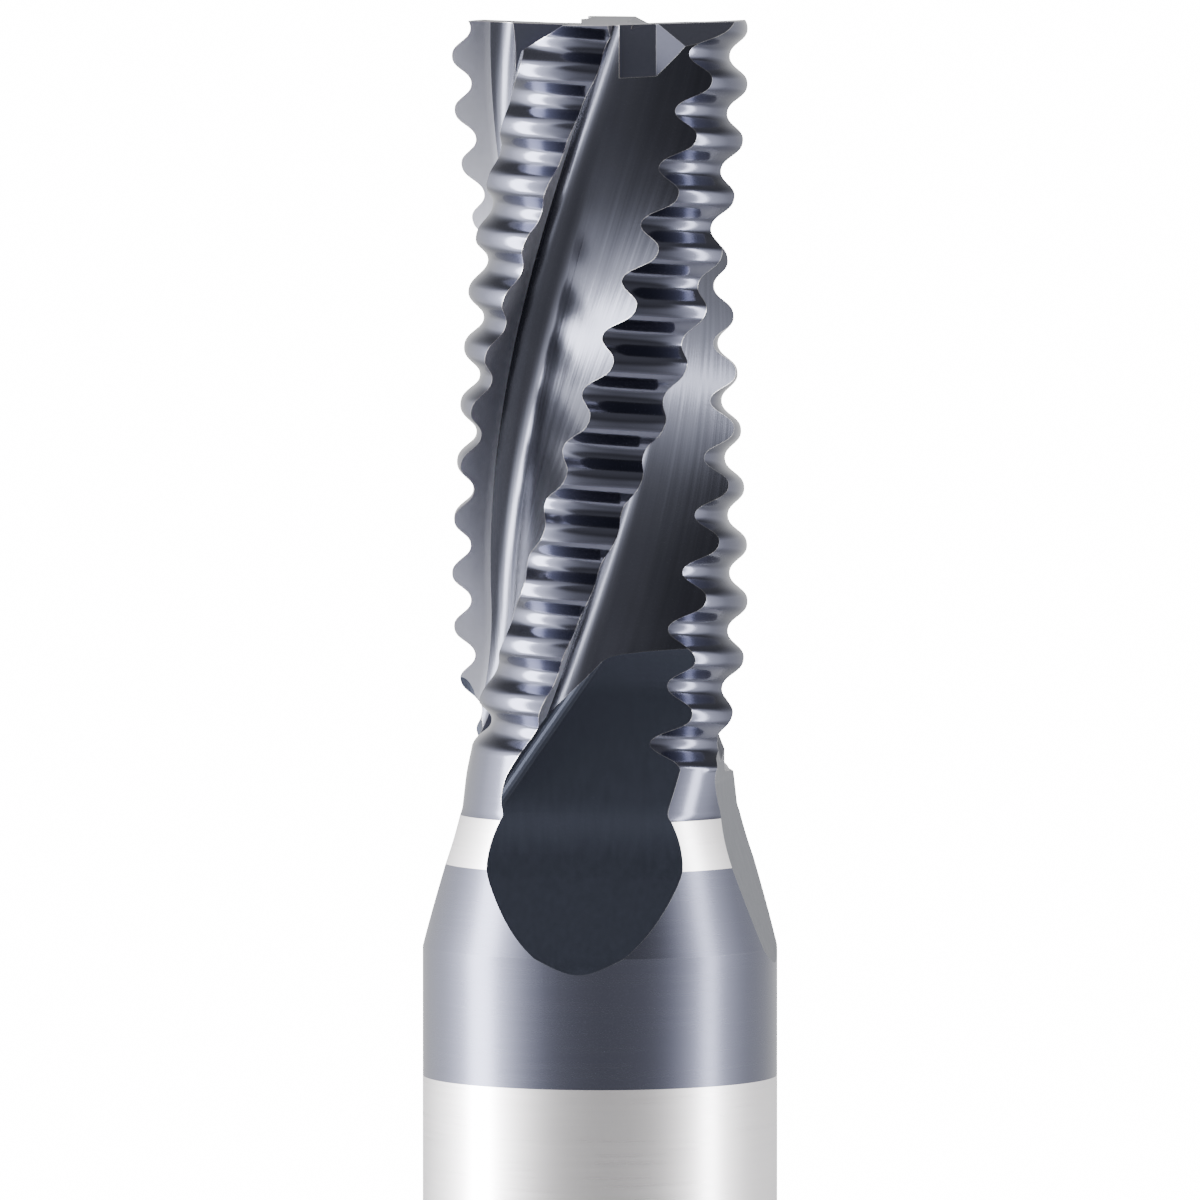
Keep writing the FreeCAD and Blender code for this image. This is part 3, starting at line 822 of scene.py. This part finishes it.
def strip_light(name, side, width, tall, power):
    """A tall soft light at a direction from the front, in degrees to the right."""
    data = bpy.data.lights.new(name, "AREA")
    data.shape = "RECTANGLE"
    data.size = width
    data.size_y = tall
    data.energy = power
    light = bpy.data.objects.new(name, data)
    bpy.context.collection.objects.link(light)
    light.location = (LIGHT_DISTANCE * sin(radians(side)), -LIGHT_DISTANCE * cos(radians(side)), LIGHT_HEIGHT)
    light.rotation_euler = (pi / 2, 0, radians(side))
    return light


strips = [strip_light("left_strip", -84, 0.2, 0.8, 14), strip_light("right_strip", 76, 0.1, 0.8, 4)]
print("strip lights:", [strip.name for strip in strips])

# %% Light the room round it
# degrees to the right of the front, and the glow there
ROOM_GLOW = ((-180, 1.4), (-150, 1.8), (-120, 3.8), (-100, 8), (-66, 7), (-54, 3), (-42, 1.6), (-32, 1.0),
             (-15, 0.75), (0, 0.65), (30, 0.8), (42, 1.1), (54, 2.0), (66, 4), (92, 3.4), (110, 1.8),
             (180, 1.4))
BRIGHTEST = 8
SEEN_WHITE = 20       # the room seen straight, without a reflection
LEAST_REACH = 0.4     # how high the glow goes, as the sine of the angle above the horizon
REACH_PER_GLOW = 0.1
SOFT_BORDER = 0.35
CEILING = 0.45
UNDERSIDE = 1.8
EVERYWHERE = 0.05


def white_room():
    """A glow that depends on the direction from the front, and fades above and below the horizon."""
    world = bpy.data.worlds.new("white_room")
    bpy.context.scene.world = world
    world.use_nodes = True
    tree = world.node_tree
    tree.nodes.clear()
    place = tree.nodes.new("ShaderNodeTexCoord")
    split = tree.nodes.new("ShaderNodeSeparateXYZ")
    tree.links.new(place.outputs["Generated"], split.inputs[0])
    x, y, z = (Field(tree, socket) for socket in split.outputs)
    side = calc("ARCTAN2", x, y * -1) / (2 * pi) + 0.5
    ramp = tree.nodes.new("ShaderNodeValToRGB")
    tree.links.new(side.socket, ramp.inputs[0])
    stops = ramp.color_ramp.elements
    while len(stops) < len(ROOM_GLOW):
        stops.new(0.5)
    for stop, (angle, glow) in zip(stops, ROOM_GLOW):
        stop.position = angle / 360 + 0.5
        stop.color = (glow / BRIGHTEST, glow / BRIGHTEST, glow / BRIGHTEST, 1)
    height = calc("ABSOLUTE", z)
    round_it = Field(tree, ramp.outputs["Color"]) * BRIGHTEST
    reach = calc("MINIMUM", round_it * REACH_PER_GLOW + LEAST_REACH, 1)
    near_horizon = between_0_and_1((reach - height) / SOFT_BORDER)
    elsewhere = calc("MAXIMUM", z, 0) * CEILING + calc("MAXIMUM", z * -1, 0) * UNDERSIDE + EVERYWHERE
    level = choose(near_horizon, round_it, elsewhere)
    path = tree.nodes.new("ShaderNodeLightPath")
    seen = Field(tree, path.outputs["Is Camera Ray"])
    background = tree.nodes.new("ShaderNodeBackground")
    out = tree.nodes.new("ShaderNodeOutputWorld")
    tree.links.new(choose(seen, SEEN_WHITE, level).socket, background.inputs["Strength"])
    tree.links.new(background.outputs[0], out.inputs[0])


white_room()
print("glow in front:", dict(ROOM_GLOW)[0], "and at its brightest:", BRIGHTEST)

# %% [markdown]
# ## Tie it to the frame
# The fine mesh stands for the solid model's one node and rides on its one body.

# %% Tie to the frame and finish
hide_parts(NODE)
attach(mill, "root")
